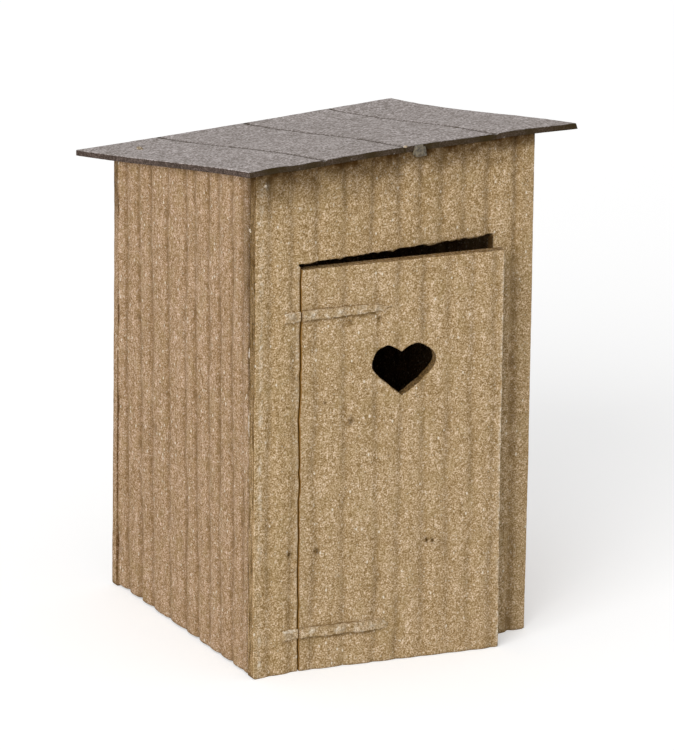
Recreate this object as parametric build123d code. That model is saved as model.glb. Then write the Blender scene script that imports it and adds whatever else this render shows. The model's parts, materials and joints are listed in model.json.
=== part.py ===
"""A card scale model of a plank outhouse, with a lean-to roof and a door that stands ajar.

While it is built, X runs along the front from its left end, Y runs back from the front and Z is up,
with zero at the walls' front left bottom corner. The finished pieces are then shifted so that the
origin is under the middle of the whole model, on the surface that it stands on. All sizes in mm.
"""

from build123d import *
import math
import os

# The walls are cut from one thickness of card and are open below
CARD = 0.6
WALL_WIDTH = 15.52
WALL_DEPTH = 15.31
FRONT_HEIGHT = 26.05
BACK_HEIGHT = 22.8

# The doorway in the front wall
DOORWAY_LEFT = 2.43
DOORWAY_WIDTH = 10.88
DOORWAY_HEIGHT = 21.28

# The door leaf, and the cuts around it
HINGE_GAP = 0.1
LATCH_GAP = 0.22
HEAD_GAP = 0.32
FOOT_GAP = 0.1
DOOR_ANGLE = 9.0

# The heart cut through the leaf: two round lobes that run straight down to a tip
HEART_FROM_HINGE = 5.34
HEART_TIP_DROP = 7.22
HEART_LOBE_RADIUS = 0.86
HEART_LOBE_SPACING = 1.56
HEART_LOBE_RISE = 1.72

# The strap hinges, each a plate on the wall and a strap on the leaf
STRAP_WIDTH = 0.56
STRAP_THICKNESS = 0.1
STRAP_LENGTH = 4.6
STRAP_SETBACK = 0.13
PLATE_LENGTH = 0.8
LOWER_STRAP_HEIGHT = 1.75
UPPER_STRAP_DROP = 2.94

# The roof sheet, level across but for an arch at the front, a wave along it and a lifted back right corner
ROOF_THICKNESS = 0.3
ROOF_LEFT_OVERHANG = 0.36
ROOF_RIGHT_OVERHANG = 2.4
ROOF_BACK_OVERHANG = 3.52
FRONT_ARCH = 0.23
CORNER_LIFT = 0.33
WAVE_HEIGHT = 0.06
WAVE_SHARE_AT_LEFT = 0.5
GLUE_LINE = 0.02

# The bead of glue that ran out at the middle of the front eave
BEAD_WIDTH = 0.8
BEAD_HEIGHT = 0.85
BEAD_DEPTH = 0.22
BEAD_SHOULDER = 0.12
BEAD_POSITION = 9.02
BEAD_RISE = 0.05

# How far the trimming shapes reach past what they trim, and how finely the roof's surface is set out
MARGIN = 3.0
ROOF_STATIONS = 13

door_width = DOORWAY_WIDTH - HINGE_GAP - LATCH_GAP
door_height = DOORWAY_HEIGHT - HEAD_GAP - FOOT_GAP
pivot_x = DOORWAY_LEFT + HINGE_GAP
doorway_right = DOORWAY_LEFT + DOORWAY_WIDTH
roof_left = -ROOF_LEFT_OVERHANG
roof_right = WALL_WIDTH + ROOF_RIGHT_OVERHANG
roof_back = WALL_DEPTH + ROOF_BACK_OVERHANG
roof_slope = (FRONT_HEIGHT - BACK_HEIGHT) / WALL_DEPTH
upper_strap_height = DOORWAY_HEIGHT - UPPER_STRAP_DROP
heart_tip_height = DOORWAY_HEIGHT - HEART_TIP_DROP - FOOT_GAP
door_front_y = -door_width * math.sin(math.radians(DOOR_ANGLE))


def roof_warp(x, y):
    """How far the sheet stands above its plane."""
    across = (x - roof_left) / (roof_right - roof_left)
    along = y / roof_back
    arch = FRONT_ARCH * 4 * across * (1 - across) * (1 - along)
    lift = CORNER_LIFT * across**1.5 * along**2
    wave_share = WAVE_SHARE_AT_LEFT + (1 - WAVE_SHARE_AT_LEFT) * across
    wave = WAVE_HEIGHT * wave_share * math.sin(2 * math.pi * along)
    return arch + lift + wave


def roof_underside(x, y):
    """The underside's height, held to the edge's warp just outside the sheet."""
    inside_x = min(max(x, roof_left), roof_right)
    inside_y = min(max(y, 0), roof_back)
    return FRONT_HEIGHT + GLUE_LINE - roof_slope * y + roof_warp(inside_x, inside_y)


def stations(low, high):
    """Evenly spaced values that reach past both ends by the margin."""
    step = (high - low + 2 * MARGIN) / (ROOF_STATIONS - 1)
    return [low - MARGIN + step * n for n in range(ROOF_STATIONS)]


def roof_surface():
    """The underside as one smooth surface that reaches past the sheet on every side."""
    rows = [
        [(x, y, roof_underside(x, y)) for x in stations(roof_left, roof_right)]
        for y in stations(0, roof_back)
    ]
    return Face.make_surface_from_array_of_points(rows, tol=0.001, min_deg=3, max_deg=5)


def slab(x_low, x_high, y_low, y_high, z_low, z_high):
    """A plain block between the given limits."""
    corner = Align.MIN
    block = Box(x_high - x_low, y_high - y_low, z_high - z_low, align=(corner, corner, corner))
    return Pos(x_low, y_low, z_low) * block


def wall(x_low, x_high, y_low, y_high, z_low=0):
    """A wall of card whose top edge is cut to the roof, less the glue line."""
    block = slab(x_low, x_high, y_low, y_high, z_low, FRONT_HEIGHT + MARGIN)
    return block & below_roof


def heart():
    """The heart's outline, upright, with its tip at the origin."""
    half = HEART_LOBE_SPACING / 2
    reach = math.hypot(half, HEART_LOBE_RISE)
    lean = math.atan2(half, HEART_LOBE_RISE)
    spread = math.asin(HEART_LOBE_RADIUS / reach)
    side = math.sqrt(reach**2 - HEART_LOBE_RADIUS**2)
    touch_x = side * math.sin(lean + spread)
    touch_z = side * math.cos(lean + spread)
    point = Polyline(
        (0, 0),
        (touch_x, touch_z),
        (half, HEART_LOBE_RISE),
        (-half, HEART_LOBE_RISE),
        (-touch_x, touch_z),
        close=True,
    )
    lobes = Pos(half, HEART_LOBE_RISE) * Circle(HEART_LOBE_RADIUS)
    lobes += Pos(-half, HEART_LOBE_RISE) * Circle(HEART_LOBE_RADIUS)
    return make_face(point) + lobes


def on_leaf(piece):
    """Turns a piece that is set out on the shut leaf, from its hinge edge, to the leaf's place."""
    return Location((pivot_x, 0, FOOT_GAP), (0, 0, -DOOR_ANGLE)) * piece


def door_leaf():
    """The door's card with the heart cut through it."""
    leaf = slab(0, door_width, 0, CARD, 0, door_height)
    tip = Plane(origin=(HEART_FROM_HINGE, 0, heart_tip_height), x_dir=(1, 0, 0), z_dir=(0, -1, 0))
    cut = extrude(tip * heart(), MARGIN, both=True)
    return on_leaf(leaf - cut)


def hinge_strap(height):
    """The long half of a strap hinge, on the leaf's face."""
    low = height - FOOT_GAP
    end = STRAP_SETBACK + STRAP_LENGTH
    return on_leaf(slab(STRAP_SETBACK, end, -STRAP_THICKNESS, 0, low, low + STRAP_WIDTH))


def hinge_plate(height):
    """The short half of a strap hinge, on the wall's face beside the doorway."""
    left = DOORWAY_LEFT - PLATE_LENGTH
    return slab(left, DOORWAY_LEFT, -STRAP_THICKNESS, 0, height, height + STRAP_WIDTH)


def glue_bead():
    """A flattened bead on the face of the front eave."""
    eave = roof_underside(BEAD_POSITION, 0) + ROOF_THICKNESS
    centre = eave + BEAD_RISE - BEAD_HEIGHT / 2
    foot = Plane(origin=(BEAD_POSITION, 0, centre), x_dir=(1, 0, 0), z_dir=(0, -1, 0))
    base = Ellipse(BEAD_WIDTH / 2, BEAD_HEIGHT / 2)
    top = Ellipse(BEAD_WIDTH / 2 - BEAD_SHOULDER, BEAD_HEIGHT / 2 - BEAD_SHOULDER)
    return loft([foot * base, foot.offset(BEAD_DEPTH) * top])


underside = roof_surface()
below_roof = extrude(Pos(0, 0, -GLUE_LINE) * underside, FRONT_HEIGHT + 2 * MARGIN, dir=(0, 0, -1))
sheet = extrude(underside, ROOF_THICKNESS, dir=(0, 0, 1))
roof_plan = slab(roof_left, roof_right, 0, roof_back, 0, FRONT_HEIGHT + 2 * MARGIN)

nodes = {
    "front_wall_left": wall(0, DOORWAY_LEFT, 0, CARD),
    "front_wall_right": wall(doorway_right, WALL_WIDTH, 0, CARD),
    "front_wall_over_door": wall(DOORWAY_LEFT, doorway_right, 0, CARD, DOORWAY_HEIGHT),
    "left_wall": wall(0, CARD, CARD, WALL_DEPTH - CARD),
    "right_wall": wall(WALL_WIDTH - CARD, WALL_WIDTH, CARD, WALL_DEPTH - CARD),
    "back_wall": wall(0, WALL_WIDTH, WALL_DEPTH - CARD, WALL_DEPTH),
    "roof": sheet & roof_plan,
    "lower_hinge_plate": hinge_plate(LOWER_STRAP_HEIGHT),
    "upper_hinge_plate": hinge_plate(upper_strap_height),
    "glue_bead": glue_bead(),
    "door_leaf": door_leaf(),
    "lower_hinge_strap": hinge_strap(LOWER_STRAP_HEIGHT),
    "upper_hinge_strap": hinge_strap(upper_strap_height),
}

# The middle of the whole model, from the roof's sides and from the door's free edge to the roof's back
middle_x = (roof_left + roof_right) / 2
middle_y = (door_front_y + roof_back) / 2

os.makedirs("parts", exist_ok=True)
for name, piece in nodes.items():
    export_step(Pos(-middle_x, -middle_y, 0) * piece, f"parts/{name}.step")

print("hinge axis at", pivot_x - middle_x, -middle_y)
print("walls' front left corner at", -middle_x, -middle_y)
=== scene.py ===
"""The looks of the card outhouse model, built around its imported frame.

Sizes are in millimetres from the walls' front left bottom corner, with X along the front, Y
towards the back and Z up. MM and the frame's own boxes turn them into the frame's metres.
"""

import json
import math

import bmesh
import bpy
import numpy as np
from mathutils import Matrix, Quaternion, Vector
from mathutils.bvhtree import BVHTree

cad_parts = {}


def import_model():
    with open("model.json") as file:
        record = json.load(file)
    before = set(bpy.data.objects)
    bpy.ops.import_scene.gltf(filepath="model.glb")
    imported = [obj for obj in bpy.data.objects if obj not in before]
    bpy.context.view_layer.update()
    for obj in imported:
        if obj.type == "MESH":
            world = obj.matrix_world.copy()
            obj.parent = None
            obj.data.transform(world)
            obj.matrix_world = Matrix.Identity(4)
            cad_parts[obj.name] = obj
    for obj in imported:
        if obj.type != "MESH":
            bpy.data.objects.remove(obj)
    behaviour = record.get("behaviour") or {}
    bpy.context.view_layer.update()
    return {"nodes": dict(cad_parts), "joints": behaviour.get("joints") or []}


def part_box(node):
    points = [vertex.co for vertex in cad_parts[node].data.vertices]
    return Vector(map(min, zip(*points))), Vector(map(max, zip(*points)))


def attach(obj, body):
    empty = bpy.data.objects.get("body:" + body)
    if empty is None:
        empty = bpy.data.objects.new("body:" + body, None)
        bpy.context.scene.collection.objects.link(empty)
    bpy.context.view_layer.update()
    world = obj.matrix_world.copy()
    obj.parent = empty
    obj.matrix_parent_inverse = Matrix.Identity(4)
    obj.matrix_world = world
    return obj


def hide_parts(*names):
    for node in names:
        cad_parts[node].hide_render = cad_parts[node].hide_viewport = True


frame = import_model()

# --- measures from the frame

MM = 0.001
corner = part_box("front_wall_left")[0]


def box_mm(node):
    """A node's lowest and highest corners, in millimetres from the walls' front left corner."""
    low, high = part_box(node)
    return (np.array(low) - corner) / MM, (np.array(high) - corner) / MM


CARD = box_mm("front_wall_left")[1][1]
WIDTH = box_mm("front_wall_right")[1][0]
DEPTH = box_mm("back_wall")[1][1]
DOORWAY_LEFT = box_mm("front_wall_left")[1][0]
DOORWAY_RIGHT = box_mm("front_wall_right")[0][0]
DOORWAY_HEAD = box_mm("front_wall_over_door")[0][2]

hinge = frame["joints"][0]
pivot = (np.array(hinge["pos_m"]) - corner) / MM
ajar = math.radians(-hinge["range_deg"][0])
leaf_low, leaf_high = box_mm("door_leaf")
LEAF_WIDTH = -leaf_low[1] / math.sin(ajar)
LEAF_TOP = leaf_high[2]

# --- noise


def held(share):
    """A share kept between 0 and 1."""
    return np.clip(share, 0, 1)


def eased(share):
    """A share kept between 0 and 1, with soft ends."""
    share = held(share)
    return share * share * (3 - 2 * share)


def wander(seed, where):
    """Smooth noise along one line, between -1 and 1."""
    table = np.random.default_rng(seed).uniform(-1, 1, 256)
    cell = np.floor(where).astype(int)
    part = eased(where - cell)
    return table[cell % 256] * (1 - part) + table[(cell + 1) % 256] * part


def lumps(seed, across, up):
    """Smooth noise over a surface, between -1 and 1."""
    table = np.random.default_rng(seed).uniform(-1, 1, (256, 256))
    column = np.floor(across).astype(int)
    row = np.floor(up).astype(int)
    right = eased(across - column)
    above = eased(up - row)
    levels = []
    for level in (row % 256, (row + 1) % 256):
        start = table[level, column % 256]
        end = table[level, (column + 1) % 256]
        levels.append(start * (1 - right) + end * right)
    return levels[0] * (1 - above) + levels[1] * above


def hump(off, width=1):
    """A smooth bump of height 1 that fades over a width on both sides."""
    return np.exp(-((off / width) ** 2))


# --- the card's surface


class Boards:
    """The rounded boards pressed into one sheet of card.

    grooves says where two boards meet along the sheet, shade how dark the lines between them are
    painted, with painted shade and laser burn, and lean how far the lines tip over for each
    millimetre of height. The last few grooves can be deeper than the others by a factor."""

    def __init__(self, grooves, seed, depth, width, shade=1.0, lean=0.0, last=1.0, last_count=1):
        self.grooves = grooves
        self.seed = seed
        self.depth = depth
        self.width = width
        self.lean = lean
        self.shade = shade
        self.last = last
        self.first_last = len(grooves) - last_count

    def relief(self, along, up):
        """How deep the surface lies, and how dark the grooves' painted shade and burn is, from 0 to 1.
        """
        narrow = np.zeros(along.shape)
        broad = np.zeros(along.shape)
        shade = np.zeros(along.shape)
        for number, groove in enumerate(self.grooves):
            seed = self.seed + number
            line = groove + self.lean * (up - 12)
            line = line + 0.09 * wander(seed, up / 3.4) + 0.035 * wander(seed + 40, up / 0.9)
            line = line + 0.022 * wander(seed + 20, up / 0.35)
            strength = 0.72 + 0.36 * wander(seed + 80, up / 2.3) + 0.3 * wander(seed + 60, up / 0.6)
            strength = strength * (self.last if number >= self.first_last else 1)
            off = (along - line) / self.width
            narrow = np.maximum(narrow, strength * hump(off))
            # Painted shade and laser burn along each groove.
            shade = np.maximum(shade, self.shade * strength * hump(0.85 * off))
            broad = np.maximum(broad, hump(0.32 * off))
        rough = 0.013 * lumps(self.seed + 120, along / 0.3, up / 0.45)
        rough = rough + 0.014 * lumps(self.seed + 121, along / 1.1, up / 2.2)
        return self.depth * (narrow + 0.35 * broad) + rough + 0.027, held(shade)


# Where boards meet across the front, on the leaf from its hinge, and from the front backwards
FRONT_GROOVES = (0.88, 2.18, 3.48, 5.0, 6.65, 8.1, 9.3, 10.4, 11.65, 13.05, 14.6)
DOOR_GROOVES = (0.85, 2.35, 4.07, 5.25, 6.55, 7.87, 9.1, 10.25)
SIDE_GROOVES = (1.47, 2.6, 3.95, 5.1, 6.45, 7.6, 9.45, 11.34, 12.58, 14.05)
BACK_GROOVES = (1.2, 2.5, 3.6, 5.1, 6.3, 7.8, 9.1, 10.2, 11.7, 12.9, 14.3)

front_boards = Boards(FRONT_GROOVES, 300, depth=0.085, width=0.2, shade=0.56, last=2.1)
door_boards = Boards(DOOR_GROOVES, 900, depth=0.085, width=0.2, shade=0.64)
left_boards = Boards(
    SIDE_GROOVES, 500, depth=0.12, width=0.175, shade=1.4, lean=0.014, last=1.25, last_count=3
)
right_boards = Boards(SIDE_GROOVES, 600, depth=0.12, width=0.19, shade=1.3, lean=-0.01)
back_boards = Boards(BACK_GROOVES, 700, depth=0.14, width=0.18)

CELL_ALONG = 0.07
CELL_UP = 0.17
TINY = 1e-6


def rolled(gap, radius):
    """How far an edge is worn back at a distance from it."""
    close = held(1 - gap / radius)
    return radius * (1 - np.sqrt(1 - close**2))


def lines(low, high, step, extra=()):
    """Grid lines from low to high, closer at both ends, with extra lines where they are needed."""
    count = max(2, round((high - low) / step))
    even = np.linspace(low, high, count + 1)
    close = [low + 0.02, low + 0.05, high - 0.05, high - 0.02]
    wanted = [low, high, *(x for x in extra if low < x < high), *close, *even]
    taken = []
    for line in wanted:
        if all(abs(line - other) > 0.014 for other in taken):
            taken.append(line)
    return np.array(sorted(taken))


# --- meshes


def finish_mesh(mesh, sharp_degrees=60):
    """Turns all faces outwards and smooths what isn't a sharp edge."""
    work = bmesh.new()
    work.from_mesh(mesh)
    bmesh.ops.recalc_face_normals(work, faces=work.faces)
    work.to_mesh(mesh)
    work.free()
    mesh.shade_smooth()
    mesh.set_sharp_from_angle(angle=math.radians(sharp_degrees))


def link(item):
    bpy.context.scene.collection.objects.link(item)


def make_object(name, points, faces, kinds, marks, looks):
    """An object from points in millimetres, faces with a kind of surface each, and named marks."""
    used, faces_new = np.unique(faces, return_inverse=True)
    faces_new = faces_new.reshape(faces.shape)
    mesh = bpy.data.meshes.new(name)
    metres = points[used] * MM + np.array(corner)
    mesh.from_pydata(metres.tolist(), [], faces_new.tolist())
    mesh.polygons.foreach_set("material_index", kinds)
    for look in looks:
        mesh.materials.append(look)
    for mark, values in marks.items():
        attribute = mesh.attributes.new(mark, "FLOAT", "POINT")
        attribute.data.foreach_set("value", values[used].astype(np.float32))
    finish_mesh(mesh)
    piece = bpy.data.objects.new(name, mesh)
    link(piece)
    return piece


def all_cells(grid):
    return np.ones((grid.shape[0] - 1, grid.shape[1] - 1), bool)


def cell_middles(grid):
    return (grid[:-1, :-1] + grid[1:, 1:]) / 2


def inner_face(seed, along, up):
    """How deep the inner face of a sheet of card lies."""
    return CARD - 0.01 + 0.01 * lumps(seed, along / 0.8, up / 0.8)


def closed_sheet(name, outer, inner, keep, marks, looks):
    """A closed sheet between two grids of points, with the cells that keep leaves in.

    looks are the materials of the outer face, the cut edges and the inner face."""
    rows, columns = outer.shape[:2]
    number = np.arange(rows * columns).reshape(rows, columns)
    behind = rows * columns
    a, b = number[:-1, :-1], number[:-1, 1:]
    c, d = number[1:, 1:], number[1:, :-1]
    front = np.stack([a[keep], b[keep], c[keep], d[keep]], 1)
    padded = np.pad(keep, 1)
    sides = (
        (a, b, padded[:-2, 1:-1]),
        (b, c, padded[1:-1, 2:]),
        (c, d, padded[2:, 1:-1]),
        (d, a, padded[1:-1, :-2]),
    )
    rims = []
    for start, end, beyond in sides:
        edge = keep & ~beyond
        rims.append(np.stack([end[edge], start[edge], start[edge] + behind, end[edge] + behind], 1))
    rim = np.concatenate(rims)
    faces = np.concatenate([front, rim, front[:, ::-1] + behind])
    kinds = np.repeat([0, 1, 2], [len(front), len(rim), len(front)])
    points = np.concatenate([outer.reshape(-1, 3), inner.reshape(-1, 3)])
    twice = {mark: np.tile(values.reshape(-1), 2) for mark, values in marks.items()}
    return make_object(name, points, faces, kinds, twice, looks)


def settle(piece, nodes, body):
    """Hides the nodes a piece stands for and puts the piece on the body it moves with."""
    if nodes:
        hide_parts(*nodes)
    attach(piece, body)


def on_front(along, into, up):
    return np.stack([along, into, up], -1)


def on_left(along, into, up):
    return np.stack([into, along, up], -1)


def on_right(along, into, up):
    return np.stack([WIDTH - into, along, up], -1)


def on_back(along, into, up):
    return np.stack([along, DEPTH - into, up], -1)


def on_door(along, into, up):
    """Places what is set out on the shut leaf, from its hinge edge, on the leaf as it stands."""
    x = pivot[0] + along * math.cos(ajar) + into * math.sin(ajar)
    y = pivot[1] - along * math.sin(ajar) + into * math.cos(ajar)
    return np.stack([x, y, up + 0 * x], -1)


# --- the roof's surface


def powers(x, y):
    """The terms of a polynomial of the fourth power in each direction."""
    return np.array([(x / WIDTH) ** n * (y / DEPTH) ** m for n in range(5) for m in range(5)])


def fit_roof():
    """The CAD roof's top as a smooth polynomial in X and Y, and the sheet's thickness."""
    node = frame["nodes"]["roof"]
    corners = [v.co for v in node.data.vertices]
    tree = BVHTree.FromPolygons(corners, [p.vertices[:] for p in node.data.polygons])
    low, high = box_mm("roof")
    inset = 0.02
    rows, heights, thicknesses = [], [], []
    for x in np.linspace(low[0] + inset, high[0] - inset, 15):
        for y in np.linspace(low[1] + inset, high[1] - inset, 15):
            spot = Vector((x * MM + corner.x, y * MM + corner.y, 1.0))
            top = tree.ray_cast(spot, Vector((0, 0, -1)))[0]
            spot.z = -1.0
            bottom = tree.ray_cast(spot, Vector((0, 0, 1)))[0]
            rows.append(powers(x, y))
            heights.append((top.z - corner.z) / MM)
            thicknesses.append((top.z - bottom.z) / MM)
    factors = np.linalg.lstsq(np.array(rows), np.array(heights), rcond=None)[0]
    return factors, float(np.median(thicknesses))


roof_factors, ROOF_THICKNESS = fit_roof()
FRONT_SAG = 0.085
ROOF_LEFT = box_mm("roof")[0][0]
ROOF_RIGHT, ROOF_BACK = box_mm("roof")[1][:2]


def roof_top(x, y):
    """The height of the roof's top, which sags a little between the ends of its front edge."""
    sag = FRONT_SAG * eased((x - 0.8) / 1.8) * eased((14.4 - x) / 1.6) * eased(1 - y / 7)
    return np.tensordot(roof_factors, powers(x, y), axes=(0, 0)) - sag


def wall_top(x, y):
    """The height of the walls' card, a hair into the roof sheet."""
    return roof_top(x, y) - ROOF_THICKNESS + 0.01


# --- materials


def linear(red, green, blue):
    """A screen colour from 0 to 255 as the linear values that shaders use."""
    values = np.array([red, green, blue]) / 255
    bent = np.where(values <= 0.04045, values / 12.92, ((values + 0.055) / 1.055) ** 2.4)
    return tuple(float(x) for x in bent)


class Look:
    """One material's node tree, with short ways to add what the surfaces here need."""

    def __init__(self, name):
        self.material = bpy.data.materials.new(name)
        self.material.use_nodes = True
        self.tree = self.material.node_tree
        self.tree.nodes.clear()
        self.place = self.add("TexCoord").outputs["Object"]

    def add(self, kind, feeds=None, **settings):
        """A new node with its settings, and with its inputs fed by name or number."""
        node = self.tree.nodes.new("ShaderNode" + kind)
        for key, value in settings.items():
            setattr(node, key, value)
        for key, value in (feeds or {}).items():
            self.feed(node.inputs[key], value)
        return node

    def feed(self, socket, value):
        """Links a socket to another node's output, or sets it to a number or colour."""
        if isinstance(value, bpy.types.NodeSocket):
            self.tree.links.new(value, socket)
        elif isinstance(value, tuple):
            socket.default_value = (*value, 1)
        else:
            socket.default_value = value

    def math(self, operation, first, second=0.0, third=0.0):
        node = self.add("Math", operation=operation)
        for socket, value in zip(node.inputs, (first, second, third)):
            self.feed(socket, value)
        return node.outputs[0]

    def times(self, first, second):
        return self.math("MULTIPLY", first, second)

    def noise(self, scale, detail=2.0, roughness=0.5, stretch=(1, 1, 1)):
        """Cloudy noise with lumps of about 1 / scale metres."""
        node = self.add("TexNoise", {"Scale": scale, "Detail": detail, "Roughness": roughness})
        self.feed(node.inputs["Vector"], self.stretched(stretch))
        return node.outputs["Fac"]

    def spread(self, value, low, high, new_low=0.0, new_high=1.0):
        """Maps low..high to new_low..new_high and holds the ends."""
        ends = {"From Min": low, "From Max": high, "To Min": new_low, "To Max": new_high}
        return self.add("MapRange", {"Value": value, **ends}).outputs["Result"]

    def mark(self, name):
        return self.add("Attribute", attribute_name=name).outputs["Fac"]

    def tones(self, value, stops):
        """A colour ramp through (position, colour) stops."""
        node = self.add("ValToRGB")
        ramp = node.color_ramp
        while len(ramp.elements) < len(stops):
            ramp.elements.new(0.5)
        for element, (position, colour) in zip(ramp.elements, stops):
            element.position = position
            element.color = (*colour, 1)
        self.feed(node.inputs["Fac"], value)
        return node.outputs["Color"]

    def mix(self, share, first, second):
        node = self.add("Mix", {"Factor": share, "A": first, "B": second}, data_type="RGBA")
        return node.outputs["Result"]

    def stretched(self, factors):
        """The place on the object, with lengths along X, Y and Z multiplied by the factors."""
        mapping = self.add("Mapping")
        mapping.inputs["Scale"].default_value = factors
        self.feed(mapping.inputs["Vector"], self.place)
        return mapping.outputs["Vector"]

    def flecks(self, scale, size, share, stretch=(1, 1, 1)):
        """Small spots in a share of the cells of a scattered pattern, from 0 to 1."""
        node = self.add("TexVoronoi", {"Scale": scale})
        self.feed(node.inputs["Vector"], self.stretched(stretch))
        near = self.spread(node.outputs["Distance"], size, size * 0.6)
        pick = self.add("SeparateColor", {"Color": node.outputs["Color"]})
        chosen = self.math("LESS_THAN", pick.outputs["Red"], share)
        return self.times(near, chosen)

    def grain(self, body, tint, scale, contrast, stretch=(1, 1, 1)):
        """Fine mottling around a body colour, and the height that goes with it.

        tint says how fast each channel changes: its dark spots are browner than its pale ones."""
        fine = self.noise(scale, 2.0, 0.6, stretch)
        coarse = self.noise(scale * 0.3, 2.0, 0.5, stretch)
        cloud = self.noise(scale * 0.05, 2.0, 0.5)
        height = self.math("MULTIPLY_ADD", coarse, 0.22, self.times(fine, 0.78))
        tone = self.math("MULTIPLY_ADD", cloud, 0.06, self.times(height, 0.94))
        stops = []
        for step in (-1.6, -0.8, 0.0, 0.8, 1.6):
            shade = np.minimum(np.array(body) * np.exp(step * np.array(tint)), 0.9)
            stops.append((0.5 + step * 0.1 / contrast, tuple(shade)))
        return self.tones(tone, stops), height

    def surface(self, colour, roughness, height, bump, specular=0.2):
        """The finished surface, with its relief in metres of bump."""
        finish = {"Roughness": roughness, "Specular IOR Level": specular}
        shader = self.add("BsdfPrincipled", {"Base Color": colour, **finish})
        relief = self.add("Bump", {"Strength": 1.0, "Distance": bump, "Height": height})
        self.feed(shader.inputs["Normal"], relief.outputs["Normal"])
        self.add("OutputMaterial", {"Surface": shader.outputs["BSDF"]})
        return shader


CARD_TINT = (0.43, 0.51, 0.73)
ROOF_TINT = (0.38, 0.4, 0.43)
CREAM = linear(228, 216, 196)
OLIVE = linear(158, 136, 92)
# A brighter amber than burnt card: painted bounce light on the cut faces inside the hinge's gap.
AMBER = linear(146, 107, 50)
# A dark brown for soot, for painted shade in the seams and under the eave, and for bubbles in glue.
DARK_BROWN = linear(60, 40, 16)
CHAR_DARK = linear(48, 33, 12)
CHAR_PALE = linear(116, 88, 50)
ROOF_FLECK = linear(214, 206, 200)
ROOF_CLOUD = linear(128, 124, 116)
ROOF_CUT = linear(52, 41, 21)
GLUE_PALE = linear(128, 116, 94)
GLUE_DARK = linear(56, 49, 36)
# How deep the finest relief of each surface is, in metres
CARD_BUMP = 0.000025
ROOF_BUMP = 0.000022
GLUE_BUMP = 0.00005


def card_look(name, body, burnt=0.0, layered=0.0, worn=1.0, fibres=0.2):
    """Speckled fibre card. burnt is how far a laser-cut edge is browned all over, layered how
    strongly its upright streaks show, worn how pale it is where it is rubbed, and fibres the
    share of pale fibres in it.

    Marks on the mesh darken the grooves and the lines by the straps with painted shade and laser
    burn; blacken with soot and with painted shade in the seams and under the eave; brown where
    scorched; show pale fibre where rubbed; and colour the cut faces in the hinge's gap amber as
    painted bounce light."""
    look = Look(name)
    colour, height = look.grain(body, CARD_TINT, 14000, 1.12)
    fine = look.noise(10000, 2.0, 0.6)
    char = look.tones(fine, ((0.36, CHAR_DARK), (0.64, CHAR_PALE)))
    patches = look.noise(2300, 3.0, 0.6)
    stain = look.spread(look.noise(900, 3.0, 0.55), 0.48, 0.68, 0.0, 0.26)
    colour = look.mix(stain, colour, OLIVE)
    # The grooves' painted shade and laser burn, mixed towards deep, which also colours the dark
    # flecks.
    groove = look.times(look.mark("shade_and_burn"), look.spread(patches, 0.32, 0.68, 0.25, 0.8))
    deep = tuple(np.array(body) * (0.46, 0.41, 0.31))
    colour = look.mix(groove, colour, deep)
    fibre = look.flecks(3300, 0.19, fibres, (1, 1, 0.6))
    colour = look.mix(look.times(look.flecks(6200, 0.34, 0.2), 0.4), colour, CREAM)
    colour = look.mix(look.times(fibre, 0.85), colour, CREAM)
    colour = look.mix(look.times(look.flecks(3700, 0.24, 0.16), 0.6), colour, deep)
    torn = look.times(look.mark("rubbed"), look.spread(patches, 0.38, 0.6))
    speckle = look.spread(fine, 0.4, 0.6, 0.1 * worn, worn)
    colour = look.mix(look.times(torn, speckle), colour, CREAM)
    scorch = look.math("MULTIPLY_ADD", look.mark("scorched"), 0.9, burnt)
    scorch = look.times(scorch, look.spread(patches, 0.25, 0.75, 0.6, 1.15))
    colour = look.mix(scorch, colour, char)
    streak = look.spread(look.noise(8000, 3.0, 0.6, (1, 1, 0.1)), 0.42, 0.62, 0.0, layered)
    colour = look.mix(streak, colour, char)
    # Painted bounce light: the cut faces inside the hinge's gap are coloured amber.
    colour = look.mix(look.mark("painted_gap_light"), colour, AMBER)
    # Soot, and painted shade in the seams and under the eave, darken towards the dark brown.
    smoke_and_shade = look.times(look.mark("soot_and_shade"), look.spread(patches, 0.25, 0.7, 0.75, 1.1))
    colour = look.mix(smoke_and_shade, colour, DARK_BROWN)
    look.surface(colour, 0.95, height, CARD_BUMP, specular=0.02)
    return look.material


def roof_look(name, body, clouded):
    """Thin grey roofing card with a fine grain, brown where it is cut.

    clouded is how strongly its paler patches show."""
    look = Look(name)
    colour, height = look.grain(body, ROOF_TINT, 10500, 1.45, (1, 0.5, 1))
    fleck = look.times(look.flecks(4200, 0.24, 0.1), 0.4)
    colour = look.mix(fleck, colour, ROOF_FLECK)
    patches = look.noise(1900, 2.0, 0.5)
    cloud = look.spread(look.noise(1100, 3.0, 0.6), 0.4, 0.66, 0.0, clouded)
    colour = look.mix(cloud, colour, ROOF_CLOUD)
    cut = look.times(look.mark("seam"), look.spread(patches, 0.28, 0.5, 0.8, 1.0))
    colour = look.mix(cut, colour, ROOF_CUT)
    look.surface(colour, 0.9, height, ROOF_BUMP, specular=0.06)
    return look.material


def glue_look(name):
    """Dried glue: grey-green, half clear and a little shiny."""
    look = Look(name)
    cloud = look.noise(4200, 4.0, 0.65)
    colour = look.tones(cloud, ((0.38, GLUE_DARK), (0.6, GLUE_PALE)))
    colour = look.mix(look.mark("pitted"), colour, DARK_BROWN)
    shader = look.surface(colour, 0.35, cloud, GLUE_BUMP, specular=0.5)
    shader.inputs["Transmission Weight"].default_value = 0.15
    return look.material


# One card all over: the front's, the door's and the side's body colours differ partly in tone, the
# side being pinker, and partly as painted light set against how the lamp falls on each, the door
# darker as it turns towards the lamp.
front_card = card_look("front_card", linear(172, 145, 106))
door_card = card_look("door_card", linear(169, 143, 106))
side_card = card_look("side_card", linear(167, 138, 106), layered=0.22)
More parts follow.
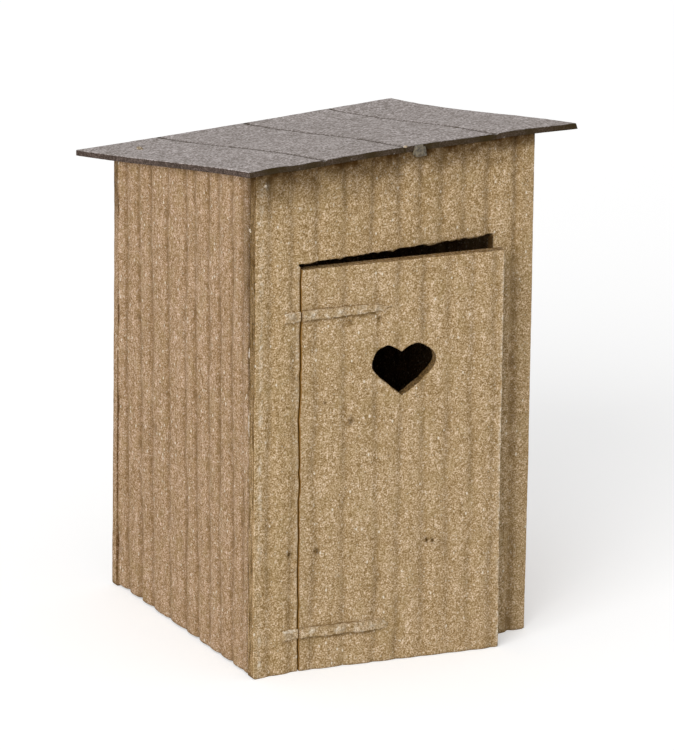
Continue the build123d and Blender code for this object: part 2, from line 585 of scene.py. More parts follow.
# The inner faces are a darker brown than the outside, as painted shade for the dark inside.
inner_card = card_look("inner_card", linear(118, 90, 60))
cut_card = card_look("cut_card", linear(158, 130, 92), layered=0.85, worn=0.45)
burnt_card = card_look("burnt_card", linear(104, 84, 52), burnt=0.35, layered=0.5)
strap_card = card_look("strap_card", linear(165, 140, 104), fibres=0.5)
roof_card = roof_look("roof_card", linear(162, 153, 149), clouded=0.15)
roof_edge = roof_look("roof_edge", linear(80, 68, 61), clouded=0.0)
flake_card = card_look("flake_card", linear(178, 161, 140), fibres=0.5)
glue = glue_look("glue")

# --- walls

FRONT_SEAM = 0.24
BACK_SEAM = 0.1
BACK_REBATE = 0.48
# How far the back sheet stands out past the left wall at the ground, and where that ends
BACK_PROUD = 0.13
BACK_PROUD_TOP = 17
# Where the seam at the back gapes: height, half its length and how dark its painted shade is
BACK_GAPS = ((20.5, 0.5, 0.6), (14.72, 0.45, 1.1), (9.8, 0.6, 0.75), (2.3, 0.6, 0.7))


def soot_and_eave_shade(drop, along, shade_and_burn):
    """The laser's smoke on the front, just under the roof: thinner towards the right, and
    reaching further down in the grooves. Its broad weak term is painted shade under the eave."""
    drop = np.maximum(drop, 0)
    reach = 1.12 - 0.02 * along + 0.3 * wander(61, along / 1.1)
    reach = np.maximum(reach + 0.3 * lumps(62, along / 0.35, drop / 0.4), 0.2)
    reach = reach * (1 + 0.2 * shade_and_burn)
    # The second, broad term is painted shade under the eave.
    return 0.9 * np.exp(-((drop / reach) ** 1.6)) + 0.08 * hump(drop, 3.5)


def foot_line(seed, along, start, end, lift):
    """The lower edge of a sheet: a little uneven, and rounded at its two corners."""
    ragged = lift + 0.01 + 0.01 * wander(seed, along / 0.3)
    return ragged + rolled(np.minimum(along - start, end - along), 0.14)


def foot_burn(above):
    """The thin brown line along a sheet's laser-cut foot."""
    return 0.7 * hump(above, 0.05)


def nothing(*places):
    """No mark anywhere."""
    return np.zeros(places[0].shape)


def corner_seam(front_gap, back_gap, up):
    """The dark line where a side wall meets the sheets before and behind it: painted shade in the
    seam, browned by the laser's smoke towards the roof.
    """
    smoked = np.clip((up - 10) / 6, 0.35, 1) + 0.15 * wander(84, up / 1.1)
    ragged = front_gap + 0.03 * wander(86, up / 0.25)
    wide = FRONT_SEAM + 0.06 * held((up - 14) / 4)
    front = smoked * np.exp(-((ragged / wide) ** 4))
    browned = 0.75 * held((up - 17) / 3) * hump(front_gap, 0.7)
    patchy = 0.25 * held(wander(83, up / 1.4) + 0.3 * wander(85, up / 0.3))
    # Painted shade where the seam at the back gapes.
    for height, reach, strength in BACK_GAPS:
        patchy = np.maximum(patchy, strength * hump(up - height, reach))
    back = patchy * hump(back_gap, BACK_SEAM)
    return held(np.maximum(np.maximum(front, browned), back))


def plain_wall(name, node, boards, place, span, top, seam, scorch, lift=0.0, proud=None, rebate=0.0):
    """A wall without a doorway, between the two ends of its span.

    seam says how dark it is along its two ends, with painted shade in the seams and the laser's
    smoke, scorch how brown elsewhere, lift how far its foot clears the ground, and proud moves its
    points along the wall. Its ends are thinned over the width of the rebate. Each such wall has the
    rows that the left wall's small marks need."""
    start, end = span
    along = lines(start, end, CELL_ALONG)
    highest = top(along).max()
    along, up = np.meshgrid(along, lines(0, highest, CELL_UP, spot_lines(LEFT_STAINS, 1)))
    high = top(along)
    up = up * high / highest
    depth, shade_and_burn = boards.relief(along, up)
    gap = np.minimum(along - start, end - along)
    # Painted shade and smoke along the wall's two ends.
    soot_and_shade = seam(along - start, end - along, up)
    flush = 0 if rebate else 0.7 * hump(end - along, 0.2)
    depth = depth * (1 - flush) + rolled(gap, 0.03) + rolled(up, 0.06) + 0.08 * soot_and_shade
    foot = foot_line(boards.seed + 7, along, start, end, lift)
    up = np.maximum(up, foot)
    scorched = np.maximum(scorch(along, up), foot_burn(up - foot))
    if proud:
        along = along + proud(along, up)
    back = np.where(gap < rebate, BACK_REBATE, inner_face(boards.seed + 9, along, up))
    marks = {"shade_and_burn": shade_and_burn, "soot_and_shade": soot_and_shade, "scorched": scorched}
    looks = (side_card, side_card, inner_card)
    outer = place(along, depth, up)
    piece = closed_sheet(name, outer, place(along, back, up), all_cells(up), marks, looks)
    settle(piece, [node], "house")


def cut_edge_burn(up):
    """How brown the upright cut edges are: more so towards the roof, in blotches."""
    brown = 0.02 + 0.52 * held((up - 12) / 6) + 0.14 * wander(77, up / 1.2)
    return brown + 0.45 * hump(up - 21.7, 0.18)


# Small marks: place along the sheet, height, radius and strength
FRONT_STAINS = ((1.98, 6.3, 0.13, 1.3), (1.1, 24.9, 0.35, 0.3), (14.3, 5.7, 0.2, 0.3))
FRONT_TORN = (
    (0.58, 25.5, 0.16, 1.0),
    (0.35, 23.95, 0.07, 1.0),
    (0.17, 23.7, 0.08, 0.9),
    (13.6, 4.9, 0.2, 0.8),
)
LEFT_STAINS = (
    (12.71, 15.14, 0.12, 0.8),
    (13.71, 18.77, 0.12, 0.5),
    (14.6, 2.2, 0.25, 0.5),
    (5.9, 13.0, 0.12, 0.7),
    (10.7, 9.9, 0.16, 0.8),
    (5.6, 8.5, 0.1, 0.6),
)
# How far a burn reaches beside a cut, how far back from an edge a sheet bends to meet it, how far
# the jamb stands out, how far under the doorway's head that ends, and how small a mark has to be
# to get grid lines of its own
CUT_HALO = 0.025
EDGE_REACH = 0.3
JAMB_PROUD = 0.035
BELOW_HEAD = 0.05
SMALL_MARK = 0.14


def left_scorch(along, up):
    return stains(along, up, LEFT_STAINS)


def back_scorch(along, up):
    """The back sheet's upright edges are brown near the roof."""
    brown = 0.75 * held((up - 18.5) / 2.5) + 0.12 * wander(79, up / 0.7)
    return np.where(np.minimum(along, WIDTH - along) < 0.02, brown, 0)


def front_grid():
    """The front sheet's grid before it is worn, and the sheet's top over each column."""
    small = FRONT_STAINS + FRONT_TORN
    along = lines(0, WIDTH, CELL_ALONG, (DOORWAY_LEFT, DOORWAY_RIGHT, *spot_lines(small, 0)))
    high = wall_top(along, 0 * along)
    below = lines(0, DOORWAY_HEAD, CELL_UP, [*strap_rows(), *spot_lines(small, 1)])
    above = lines(DOORWAY_HEAD, high.max(), CELL_UP, spot_lines(small, 1))[1:]
    along, up = np.meshgrid(along, np.concatenate([below, above]))
    stretch = (high - DOORWAY_HEAD) / (high.max() - DOORWAY_HEAD)
    up = np.where(up > DOORWAY_HEAD, DOORWAY_HEAD + (up - DOORWAY_HEAD) * stretch, up)
    return along, up, high


def front_wear(along, up, doorway, foot):
    """How scorched and how torn the front is. doorway is the distance to the doorway's edge."""
    scorched = np.where(along < 0.02, cut_edge_burn(up), stains(along, up, FRONT_STAINS))
    scorched = np.maximum(scorched, 0.95 * hump(doorway, CUT_HALO))
    scorched = np.maximum(scorched, foot_burn(up - foot))
    beside_cut = np.where(up < DOORWAY_HEAD, DOORWAY_LEFT - along - 0.02, 9)
    pale_cut = 0.5 * hump(beside_cut, 0.1)
    ridge = 0.9 * hump(along - 0.32, 0.1) * held(0.5 + wander(78, up / 0.7))
    torn = np.maximum(np.maximum(stains(along, up, FRONT_TORN), ridge), pale_cut)
    return scorched, torn


def front_wall():
    """The whole front sheet with its doorway, as one piece."""
    seed = front_boards.seed
    along, up, high = front_grid()
    depth, shade_and_burn = front_boards.relief(along, up)
    beside = np.maximum(DOORWAY_LEFT - along, along - DOORWAY_RIGHT)
    doorway = np.abs(np.maximum(beside, up - DOORWAY_HEAD))
    depth = depth + rolled(along, 0.03) + rolled(WIDTH - along, 0.04) + rolled(doorway, 0.04)
    depth = depth + 0.06 * hump(WIDTH - along, 0.5)
    shade_and_burn = np.maximum(shade_and_burn, strap_shade(along, up, box_mm, "_hinge_plate", PLATE_RISE))
    middle = cell_middles(along)
    between = (middle > DOORWAY_LEFT) & (middle < DOORWAY_RIGHT)
    keep = ~(between & (cell_middles(up) < DOORWAY_HEAD))
    head = (np.abs(up - DOORWAY_HEAD) < TINY) & (along > DOORWAY_LEFT) & (along < DOORWAY_RIGHT)
    below_head = up < DOORWAY_HEAD - BELOW_HEAD
    jamb = (np.abs(along - DOORWAY_LEFT) < TINY) & below_head
    far_jamb = (np.abs(along - DOORWAY_RIGHT) < TINY) & below_head
    drop = high - up
    up = np.where(head, up + head_line(along), up)
    by_jamb = (along < DOORWAY_LEFT + TINY) & (up < DOORWAY_HEAD - BELOW_HEAD)
    by_jamb = by_jamb * held(1 - (DOORWAY_LEFT - along) / EDGE_REACH)
    along = along + by_jamb * (JAMB_PROUD + hinge_line(up))
    foot = foot_line(seed + 33, along, 0, WIDTH, 0.0) - 0.01
    up = np.maximum(up, foot)
    lean_out = 0.045 + 0.055 * held(up / 9)
    along = along + lean_out * held((along - WIDTH + 0.6) / 0.6)
    back = inner_face(seed + 35, along, up)
    scorched, torn = front_wear(along, up, doorway, foot)
    marks = {
        "shade_and_burn": shade_and_burn,
        # Soot with painted shade under the roof, and the far jamb's cut face darkened all over.
        "soot_and_shade": np.maximum(soot_and_eave_shade(drop, along, shade_and_burn), 0.75 * far_jamb),
        "scorched": np.where(jamb, 0, scorched),
        "rubbed": torn,
        # The jamb's cut face in the hinge's gap gets painted bounce light.
        "painted_gap_light": 1.0 * jamb,
    }
    looks = (front_card, cut_card, inner_card)
    outer = on_front(along, depth, up)
    piece = closed_sheet("front_wall", outer, on_front(along, back, up), keep, marks, looks)
    nodes = ["front_wall_left", "front_wall_right", "front_wall_over_door"]
    settle(piece, nodes, "house")


def hinge_line(up):
    """The laser's slightly wavering cut between the leaf and the wall."""
    bends = 0.03 + 0.035 * wander(51, up / 2.6) + 0.022 * wander(52, up / 0.7)
    return bends + 0.014 * wander(53, up / 0.3)


def strap_rows():
    """Heights that need a grid line to show the narrow shades by the straps."""
    rows = []
    for node in ("upper_hinge_plate", "lower_hinge_plate"):
        low, high = box_mm(node)
        rows.extend(np.arange(low[2] - 0.21, low[2] + 0.16, 0.04))
        rows.extend(np.arange(high[2] - 0.09, high[2] + 0.24, 0.05))
    return rows


def strap_shade(along, up, measure, part, rises):
    """Painted shadow lines on the boards just under and over the straps, partly the laser's engraved
    outline, and a weaker band of painted shade over each strap.

    rises says how each strap's lower edge climbs."""
    shade = np.zeros(along.shape)
    for level in ("upper", "lower"):
        low, high = measure(level + part)
        reach = held((high[0] - along) / 1.2) * held((along - low[0] + 0.1) / 0.1)
        ragged = 0.05 * wander(91, along / 0.16) + 0.03 * wander(92, along / 0.5)
        foot = low[2] + STRAP_INSET + rises[level] * along
        below = (foot - 0.085 + ragged - up) / (0.085 + 0.03 * wander(94, along / 0.4))
        head = high[2] - STRAP_INSET + 0.03 + 0.02 * wander(96, along / 0.3)
        over = (up - head) / 0.05
        line_under = (1.6 + 0.6 * wander(95, along / 0.25)) * reach * hump(below)
        line_over = (1.7 + 0.4 * wander(97, along / 0.5)) * reach * hump(over)
        # A weak band of painted shade over each strap.
        painted_band = 0.35 * reach * hump(up - head - 0.1, 0.16)
        shade = np.maximum.reduce([shade, line_under, line_over, painted_band])
    return shade


def spot_lines(spots, axis):
    """Places that need a grid line to show the smallest marks."""
    small = [spot[axis] for spot in spots if spot[2] < SMALL_MARK]
    return [place + gap for place in small for gap in (-0.06, 0.0, 0.06)]


def stains(along, up, spots):
    """Small marks, each set by its place, its radius and its strength."""
    found = np.zeros(along.shape)
    for where, height, radius, strength in spots:
        away = np.hypot(along - where, (up - height) * 0.8) / radius
        found = np.maximum(found, strength * hump(away))
    return found


def head_line(along):
    """The uneven lower edge of the sheet over the doorway."""
    return 0.07 * wander(331, along / 0.6) + 0.05 * wander(332, along / 0.17) - 0.01


def back_proud(along, up):
    """The back sheet stands out a little past the left wall towards the ground."""
    return -BACK_PROUD * held(1 - up / BACK_PROUD_TOP) * held(1 - along)


def left_top(along):
    return wall_top(0 * along, along)


def right_top(along):
    return wall_top(WIDTH + 0 * along, along)


def back_top(along):
    return wall_top(along, DEPTH + 0 * along)


def walls():
    """All four walls: the two sides between the front and the back."""
    sides = CARD + 0.02, DEPTH - BACK_REBATE + 0.03
    plain_wall(
        "left_side", "left_wall", left_boards, on_left, sides, left_top, corner_seam, left_scorch,
        lift=0.1,
    )
    plain_wall(
        "right_side", "right_wall", right_boards, on_right, sides, right_top, corner_seam, nothing,
        lift=0.04,
    )
    plain_wall(
        "back_side", "back_wall", back_boards, on_back, (0, WIDTH), back_top, nothing, back_scorch,
        proud=back_proud, rebate=CARD,
    )
    front_wall()


# --- the door

# The heart's outline on the leaf, from the hinge edge and the ground, as a smooth closed line
HEART = (
    (5.3, 16.22), (4.95, 16.45), (4.52, 16.62), (3.95, 16.3), (3.73, 15.62), (4.03, 15.12),
    (4.62, 14.56), (5.36, 13.95), (5.82, 14.3), (6.34, 14.7), (6.95, 15.3), (7.05, 15.82),
    (6.76, 16.28), (6.18, 16.6), (5.74, 16.53),
)
HEART_CORNERS = (0, 7)
DOOR_STAINS = (
    (0.92, 6.25, 0.15, 1.2),
    (2.63, 12.93, 0.17, 1.3),
    (6.72, 6.2, 0.1, 1.6),
    (7.02, 6.15, 0.09, 1.6),
    (7.5, 5.95, 0.3, 0.35),
    (1.28, 14.0, 0.08, 0.9),
    (4.65, 10.9, 0.06, 0.8),
    (2.55, 18.04, 0.12, 1.0),
    (4.1, 18.1, 0.1, 0.9),
)
DOOR_TORN = ((4.2, 14.78, 0.13, 0.8), (4.46, 14.66, 0.06, 1.2), (2.1, 4.9, 0.1, 0.8))


def strap_on_leaf(node):
    """A strap's low and high corners measured along the leaf from its hinge edge."""
    low, high = box_mm(node)
    reach = (high[0] - pivot[0]) / math.cos(ajar)
    return np.array((-0.2, low[1], low[2])), np.array((reach, high[1], high[2]))


def smooth_loop(points, corners, steps=14):
    """A closed line through the points that is smooth except at the numbered corners."""
    count = len(points)
    points = np.array(points)
    found = []
    for n in range(count):
        start, end = points[n], points[(n + 1) % count]
        before = start if n in corners else points[n - 1]
        after = end if (n + 1) % count in corners else points[(n + 2) % count]
        for t in np.linspace(0, 1, steps, endpoint=False):
            place = (2 * t**3 - 3 * t**2 + 1) * start + (3 * t**2 - 2 * t**3) * end
            place = place + (t**3 - 2 * t**2 + t) * (end - before) / 2
            found.append(place + (t**3 - t**2) * (after - start) / 2)
    loop = np.array(found)
    walk = np.arange(len(loop)) / 9.0
    ragged = 0.022 * wander(71, walk) + 0.014 * wander(72, walk * 3.1)
    middle = loop.mean(0)
    outward = (loop - middle) / np.linalg.norm(loop - middle, axis=1)[:, None]
    return loop + ragged[:, None] * outward


def inside_loop(loop, x, y):
    """Whether each point lies inside a closed line."""
    crossings = np.zeros(x.shape, int)
    for (x0, y0), (x1, y1) in zip(loop, np.roll(loop, -1, 0)):
        level = (y0 > y) != (y1 > y)
        at = x0 + (y - y0) * (x1 - x0) / (y1 - y0 + 1e-12)
        crossings += level & (x < at)
    return crossings % 2 == 1


def leaf_grid():
    """The leaf's grid with the heart's edge in it, the cells inside the heart, and its edge."""
    loop = smooth_loop(HEART, HEART_CORNERS)
    low, high = loop.min(0) - 0.1, loop.max(0) + 0.1
    small = DOOR_STAINS + DOOR_TORN
    around_heart = np.arange(low[0], high[0], 0.04), np.arange(low[1], high[1], 0.04)
    along = lines(0, LEAF_WIDTH, CELL_ALONG, [*around_heart[0], *spot_lines(small, 0)])
    rows = [*around_heart[1], *strap_rows(), *spot_lines(small, 1)]
    up = lines(0, LEAF_TOP, CELL_UP, rows)
    along, up = np.meshgrid(along, up)
    hole = inside_loop(loop, cell_middles(along), cell_middles(up))
    around = np.pad(hole, 1)
    corners = around[:-1, :-1], around[:-1, 1:], around[1:, :-1], around[1:, 1:]
    rim = np.any(corners, axis=0) & ~np.all(corners, axis=0)
    for row, column in zip(*np.nonzero(rim)):
        away = loop - (along[row, column], up[row, column])
        along[row, column], up[row, column] = loop[np.argmin((away**2).sum(1))]
    return along, up, hole, rim


def door_leaf():
    """The leaf with its boards, its worn edges and the heart cut through it."""
    seed = door_boards.seed
    along, up, hole, rim = leaf_grid()
    depth, shade_and_burn = door_boards.relief(along, up)
    gap = np.minimum(along, np.minimum(up, LEAF_TOP - up))
    free = LEAF_WIDTH - along
    depth = depth + rolled(gap, 0.04) + rolled(free, 0.03) + np.where(rim, 0.03, 0)
    rubbed = hump(free, 0.1) * (0.85 + 0.35 * wander(seed + 45, up / 1.5))
    rubbed = np.maximum(rubbed, stains(along, up, DOOR_TORN))
    shade_and_burn = np.maximum(shade_and_burn, strap_shade(along, up, strap_on_leaf, "_hinge_strap", STRAP_RISE))
    away_hinge = along
    foot = foot_line(seed + 41, along, -0.2, LEAF_WIDTH, 0.0)
    up = np.maximum(up, foot)
    proud = 0.045 + 0.045 * held(1 - up / 9) - 0.015 * wander(seed + 42, up / 0.5)
    along = along + proud * held(1 - free / EDGE_REACH)
    along = along + hinge_line(up) * held(1 - along / EDGE_REACH)
    back = inner_face(seed + 44, along, up)
    scorched = np.maximum(stains(along, up, DOOR_STAINS), np.where(rim, 0.95, 0))
    scorched = np.maximum(scorched, 0.9 * hump(away_hinge, CUT_HALO))
    scorched = np.maximum(scorched, foot_burn(up - foot))
    scorched = np.where(LEAF_TOP - up < TINY, 0.4, scorched)
    hinge_edge = away_hinge < TINY
    marks = {
        "shade_and_burn": shade_and_burn,
        "rubbed": rubbed,
        "scorched": np.where(hinge_edge, 0, scorched),
        # The leaf's hinge edge in the gap gets painted bounce light.
        "painted_gap_light": 1.0 * hinge_edge,
    }
    looks = (door_card, cut_card, inner_card)
    outer = on_door(along, depth, up)
    piece = closed_sheet("door_boards", outer, on_door(along, back, up), ~hole, marks, looks)
    settle(piece, ["door_leaf"], "door")


# --- strap hinges

STRAP_PROUD = -box_mm("lower_hinge_plate")[0][1]
STRAP_ROOT = 0.3
STRAP_LAP = 0.055
STRAP_INSET = 0.04
STRAP_CELL = 0.045
STRAP_RISE = {"upper": 0.025, "lower": 0.0}
PLATE_RISE = {"upper": 0.0, "lower": 0.0}
STRAP_TORN = (
    (0.72, 0.45, 0.2, 1.4),
    (1.3, 0.12, 0.12, 1.4),
    (0.62, 0.12, 0.12, 0.9),
    (2.0, 0.35, 0.18, 1.0),
)


def strap(piece_name, node, body, place, boards, span, heights, rubbed, dark, torn, rise, seed):
    """One flat half of a strap hinge, proud of the boards, torn thin over its last stretch.

    rubbed and dark say how its face is marked, and rise how its lower edge climbs."""
    start, end = span
    low, high = heights[0] + STRAP_INSET, heights[1] - STRAP_INSET
    along, up = np.meshgrid(lines(start, end, STRAP_CELL), lines(low, high, STRAP_CELL))
    share = (up - low) / (high - low)
    tip = held((along - end + torn) / max(torn, TINY))
    ragged = 0.02 * wander(seed + 1, along / 0.13) + 0.02 * wander(seed + 3, along / 0.5)
    middle = (low + high) / 2 + 0.1 * tip * wander(seed, along / 0.3)
    up = middle + (up - (low + high) / 2) * (1 - 0.7 * tip**1.4) + ragged * np.sign(share - 0.5)
    up = up + rise * along * (1 - share)
    side = np.minimum(share, 1 - share) * (high - low)
    gap = np.minimum(np.minimum(along - start, end - along), side)
    depth, shade_and_burn = boards.relief(along, up)
    torn_face = 0.025 * lumps(seed + 2, along / 0.15, up / 0.12)
    sunk = 0.5 * depth + 0.09 * tip + rolled(gap, 0.03) + torn_face
    marks = {"shade_and_burn": np.maximum(0.5 * shade_and_burn, dark(along, share)), "rubbed": rubbed(along, share)}
    outer = place(along, sunk - STRAP_PROUD, up)
    inner = place(along, STRAP_ROOT + 0 * along, up)
    piece = closed_sheet(piece_name, outer, inner, all_cells(up), marks, [strap_card] * 3)
    settle(piece, [node], body)


def plate_torn(along, share):
    return 0.25 + 1.3 * held(4 * share - 2.8) + 0.5 * held(1 - 5 * share)


def plate_dent(along, share):
    """The darker dent in the middle of a plate."""
    off = np.hypot((along - DOORWAY_LEFT + 0.3) / 0.17, (share - 0.45) / 0.2)
    return 1.1 * hump(off)


def strap_torn(along, share):
    patchy = 0.22 + 0.5 * lumps(93, along / 0.3, share / 0.4)
    return np.maximum(patchy, stains(along, share * 0.6, STRAP_TORN))


def strap_dent(along, share):
    return 0.9 * held(lumps(98, along / 0.22, share / 0.35) - 0.2)


def straps():
    """Both hinges: a short plate on the wall and a long strap on the leaf."""
    for seed, level, torn in ((1100, "upper", 1.1), (1200, "lower", 0.5)):
        plate = level + "_hinge_plate"
        long = level + "_hinge_strap"
        low, high = box_mm(plate)
        heights = low[2], high[2]
        wall_span = low[0], DOORWAY_LEFT + STRAP_LAP
        strap(
            level + "_plate", plate, "house", on_front, front_boards, wall_span, heights,
            plate_torn, plate_dent, 0.0, PLATE_RISE[level], seed,
        )
        leaf_span = 0.05 + STRAP_LAP, strap_on_leaf(long)[1][0]
        strap(
            level + "_strap", long, "door", on_door, door_boards, leaf_span, heights,
            strap_torn, strap_dent, torn, STRAP_RISE[level], seed + 10,
        )


# --- the roof

# The cut lines between the roof's strips, where they meet the front edge and the back edge
SEAMS_FRONT = (3.74, 8.16, 13.28)
SEAMS_BACK = (4.26, 9.25, 14.3)
SEAM_WIDTH = 0.095
ROOF_STAINS = ((11.05, 3.5, 0.13, 0.9), (7.3, 1.6, 0.1, 0.4))
SEAM_DEPTH = 0.08
ROOF_CELL = 0.2
ROOF_SPLAY = 0.07


def roof_grid():
    """Places on the roof, close together along its cut lines and at its small stains."""
    beside = (-0.2, -0.13, -0.07, -0.03, 0.0, 0.03, 0.07, 0.13, 0.2)
    extra = [seam + gap for seam in SEAMS_FRONT for gap in beside]
    for spot in ROOF_STAINS:
        extra.extend(spot[0] + np.arange(-0.36, 0.15, 0.06))
    across = lines(ROOF_LEFT, ROOF_RIGHT, ROOF_CELL, extra)
    return np.meshgrid(across, lines(0, ROOF_BACK, ROOF_CELL, spot_lines(ROOF_STAINS, 1)))


def roof():
    """The roof sheet with its cut lines, a little ragged at its edges."""
    seed = 1500
    across, along = roof_grid()
    front_stops = np.array((ROOF_LEFT, *SEAMS_FRONT, ROOF_RIGHT))
    back_stops = np.array((ROOF_LEFT, *SEAMS_BACK, ROOF_RIGHT))
    shift = np.interp(across, front_stops, back_stops - front_stops)
    bend = held(np.minimum(across - ROOF_LEFT, ROOF_RIGHT - across))
    x = across + shift * along / ROOF_BACK + 0.06 * bend * wander(seed + 5, along / 4 + across / 3)
    gap = np.min([np.abs(across - seam) for seam in SEAMS_FRONT], axis=0)
    fade = 1.2 + 0.2 * wander(seed, along / 1.1 + across)
    seam = held(hump(gap, SEAM_WIDTH) * fade)
    sides = np.minimum(across - ROOF_LEFT, ROOF_RIGHT - across)
    ends = np.minimum(along, ROOF_BACK - along)
    height = roof_top(x, along)
    rough = 0.008 * lumps(seed + 1, x / 0.5, along / 0.5)
    whole = held((ROOF_BACK - along) / 0.6)
    top = height - SEAM_DEPTH * seam * whole - 0.5 * rolled(np.minimum(sides, ends), 0.05) + rough
    x = np.where(sides < TINY, x + 0.015 * wander(seed + 2, along / 0.4), x)
    along = np.where(ends < TINY, along + 0.012 * wander(seed + 3, x / 0.35), along)
    front_edge = np.where(along < 0.05, 0.78 + 0.25 * wander(seed + 6, x / 0.8), 0)
    dot = stains(x, along, ROOF_STAINS)
    dark = np.maximum(np.maximum(seam, front_edge), dot)
    splay = ROOF_SPLAY * (across == across.max())
    outer = np.stack([x - splay, along, top], -1)
    inner = np.stack([x + splay, along, height - ROOF_THICKNESS], -1)
    looks = (roof_card, roof_edge, roof_card)
    piece = closed_sheet("roof_sheet", outer, inner, all_cells(x), {"seam": dark}, looks)
    settle(piece, ["roof"], "house")


# --- dried glue and loose flakes


def blob(name, centre, radii, seed, look, taper=0.0):
    """A lump pushed out unevenly: dried glue, or a flake of torn card.

    taper is how much narrower its top is than its foot."""
    work = bmesh.new()
    bmesh.ops.create_icosphere(work, subdivisions=4, radius=1)
    points = np.array([v.co for v in work.verts])
    faces = np.array([[v.index for v in f.verts] for f in work.faces])
    work.free()
    x, y, z = points.T
    bulge = 1 + 0.22 * lumps(seed, x * 1.7 + 5, z * 1.7 + 5)
    bulge = bulge + 0.12 * lumps(seed + 1, x * 4 + 5, y * 4 + z * 4 + 5)
    squared = 0.6 if taper else 1.0
    points = np.sign(points) * np.abs(points) ** squared
    bubble = np.exp(-(((points[:, 0] + 0.2) / 0.2) ** 2) - ((points[:, 2] + 0.62) / 0.16) ** 2)
    points = points * bulge[:, None]
    points[:, 0] = points[:, 0] * (1 - taper * points[:, 2])
    points = points * np.array(radii) + np.array(centre)
    marks = {"rubbed": np.ones(len(points)), "pitted": bubble * (taper > 0)}
    return make_object(name, points, faces, np.zeros(len(faces), int), marks, (look,))


def eave_glue():
    """The bead of glue that squeezed out between the roof and the front."""
    low, high = box_mm("glue_bead")
    middle = (low + high) / 2 + (-0.05, 0, 0.01)
    radii = (high - low) / 2 * (0.78, 1.0, 0.7)
    bead = blob("eave_glue", middle, radii, 40, glue, taper=0.22)
    settle(bead, ["glue_bead"], "house")


def flakes():
    """Bits of glue and torn card: by the roof's front edge, up the near corner, on the roof."""
    edge = roof_top(np.array(8.5), np.array(0.05))
    on_roof = roof_top(np.array(1.5), np.array(15.3)) + 0.03
    spots = (
        ("eave_chip", (8.24, 0.03, edge - 0.01), (0.12, 0.09, 0.06), flake_card),
        ("front_fleck", (0.5, 0.06, 25.55), (0.09, 0.05, 0.07), flake_card),
        ("corner_flake_top", (0.03, 0.62, 23.2), (0.05, 0.1, 0.11), flake_card),
        ("corner_flake_upper", (0.04, 0.64, 16.9), (0.06, 0.08, 0.24), flake_card),
        ("corner_flake_middle", (0.05, 0.68, 13.1), (0.05, 0.08, 0.5), flake_card),
        ("roof_flake", (1.5, 15.3, on_roof), (0.12, 0.3, 0.09), burnt_card),
    )
    for number, (name, centre, radii, look) in enumerate(spots):
        settle(blob(name, centre, radii, 90 + 3 * number, look), [], "house")


# --- stage, lights and camera

CAMERA_TURN = math.radians(28.784)
CAMERA_LIFT = math.radians(18.93)
CAMERA_ROLL = math.radians(0.612)
CAMERA_DISTANCE = 328.867
CAMERA_TARGET = (4.548, 0.0, 15.288)
CAMERA_LENS = 321.44

# In metres: half the floor's side, and where its glow starts and stops growing
FLOOR = 3.0
GLOW_START = 0.04
GLOW_END = 0.5
FLOOR_GREY = (0.78, 0.78, 0.78)


def direction(turn, lift):
    """The unit vector towards something turned to the left of the front and lifted."""
    return Vector((-math.sin(turn) * math.cos(lift), -math.cos(turn) * math.cos(lift), math.sin(lift)))


def place_item(name, data, towards, centre, distance, roll=0.0):
    """Puts a camera or lamp at a distance from a point, looking at it."""
    item = bpy.data.objects.new(name, data)
    item.location = centre + towards * distance
    item.rotation_mode = "QUATERNION"
    item.rotation_quaternion = Quaternion(towards, roll) @ towards.to_track_quat("Z", "Y")
    link(item)
    return item


def camera():
    data = bpy.data.cameras.new("camera")
    data.lens = CAMERA_LENS
    data.sensor_width = 36
    data.clip_start = 0.01
    data.clip_end = 50
    target = corner + Vector(CAMERA_TARGET) * MM
    back = direction(CAMERA_TURN, CAMERA_LIFT)
    item = place_item("camera", data, back, target, CAMERA_DISTANCE * MM, CAMERA_ROLL)
    bpy.context.scene.camera = item


def lamp(name, turn, lift, distance, size, power):
    data = bpy.data.lights.new(name, "AREA")
    data.shape = "DISK"
    data.size = size
    data.energy = power
    towards = direction(math.radians(turn), math.radians(lift))
    place_item(name, data, towards, Vector((0, 0, 0.012)), distance)


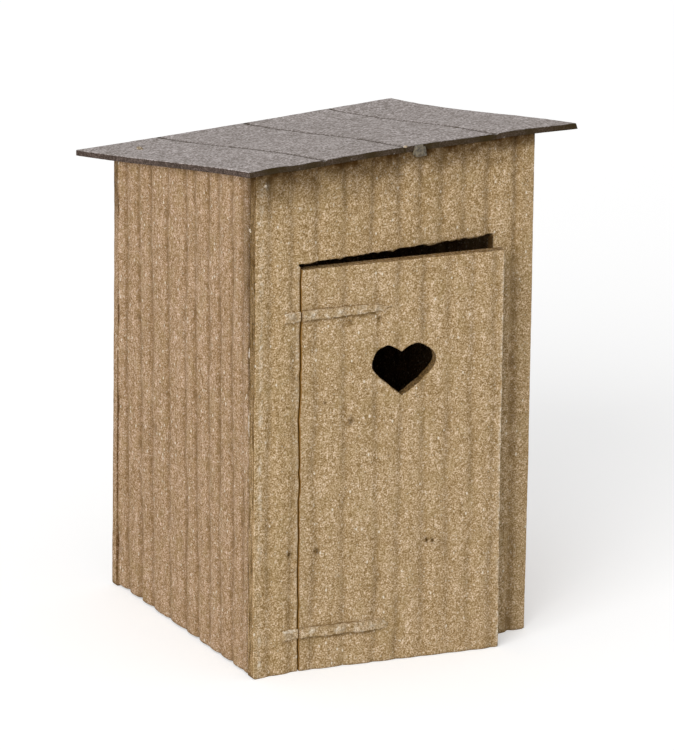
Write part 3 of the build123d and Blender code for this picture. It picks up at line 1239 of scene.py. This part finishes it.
def seen_as(tree, lit, seen):
    """The second shader for the camera, in gloss and through glass, and the first for soft light."""
    path = tree.nodes.new("ShaderNodeLightPath")
    share = path.outputs["Is Camera Ray"]
    for ray in ("Is Glossy Ray", "Is Transmission Ray"):
        most = tree.nodes.new("ShaderNodeMath")
        most.operation = "MAXIMUM"
        tree.links.new(share, most.inputs[0])
        tree.links.new(path.outputs[ray], most.inputs[1])
        share = most.outputs[0]
    mix = tree.nodes.new("ShaderNodeMixShader")
    tree.links.new(share, mix.inputs["Fac"])
    tree.links.new(lit, mix.inputs[1])
    tree.links.new(seen, mix.inputs[2])
    return mix.outputs[0]


def world(strength):
    item = bpy.data.worlds.new("studio")
    bpy.context.scene.world = item
    item.use_nodes = True
    tree = item.node_tree
    tree.nodes.clear()
    shades = []
    for level in (strength, 1.0):
        shade = tree.nodes.new("ShaderNodeBackground")
        shade.inputs["Color"].default_value = (1, 1, 1, 1)
        shade.inputs["Strength"].default_value = level
        shades.append(shade.outputs[0])
    output = tree.nodes.new("ShaderNodeOutputWorld")
    tree.links.new(seen_as(tree, *shades), output.inputs["Surface"])


def floor(glow_near, glow_far):
    """A plain pale floor that keeps the object's shadow and is white around it.

    It glows by itself so that it looks white, and more so away from the lamp."""
    mesh = bpy.data.meshes.new("floor")
    square = [(-FLOOR, -FLOOR, 0), (FLOOR, -FLOOR, 0), (FLOOR, FLOOR, 0), (-FLOOR, FLOOR, 0)]
    mesh.from_pydata(square, [], [(0, 1, 2, 3)])
    item = bpy.data.objects.new("floor", mesh)
    link(item)
    look = Look("floor")
    plain = look.add("BsdfDiffuse", {"Color": FLOOR_GREY}).outputs[0]
    away = look.add("VectorMath", {0: look.place}, operation="LENGTH")
    level = look.spread(away.outputs["Value"], GLOW_START, GLOW_END, glow_near, glow_far)
    glow = look.add("Emission", {"Strength": level})
    both = look.add("AddShader", {0: plain, 1: glow.outputs[0]})
    look.add("OutputMaterial", {"Surface": seen_as(look.tree, plain, both.outputs[0])})
    mesh.materials.append(look.material)


walls()
door_leaf()
straps()
roof()
eave_glue()
flakes()

camera()
lamp("key", turn=54, lift=28, distance=0.5, size=0.4, power=1.8)
world(0.6)
floor(glow_near=0.36, glow_far=0.62)
bpy.context.scene.view_settings.view_transform = "Standard"
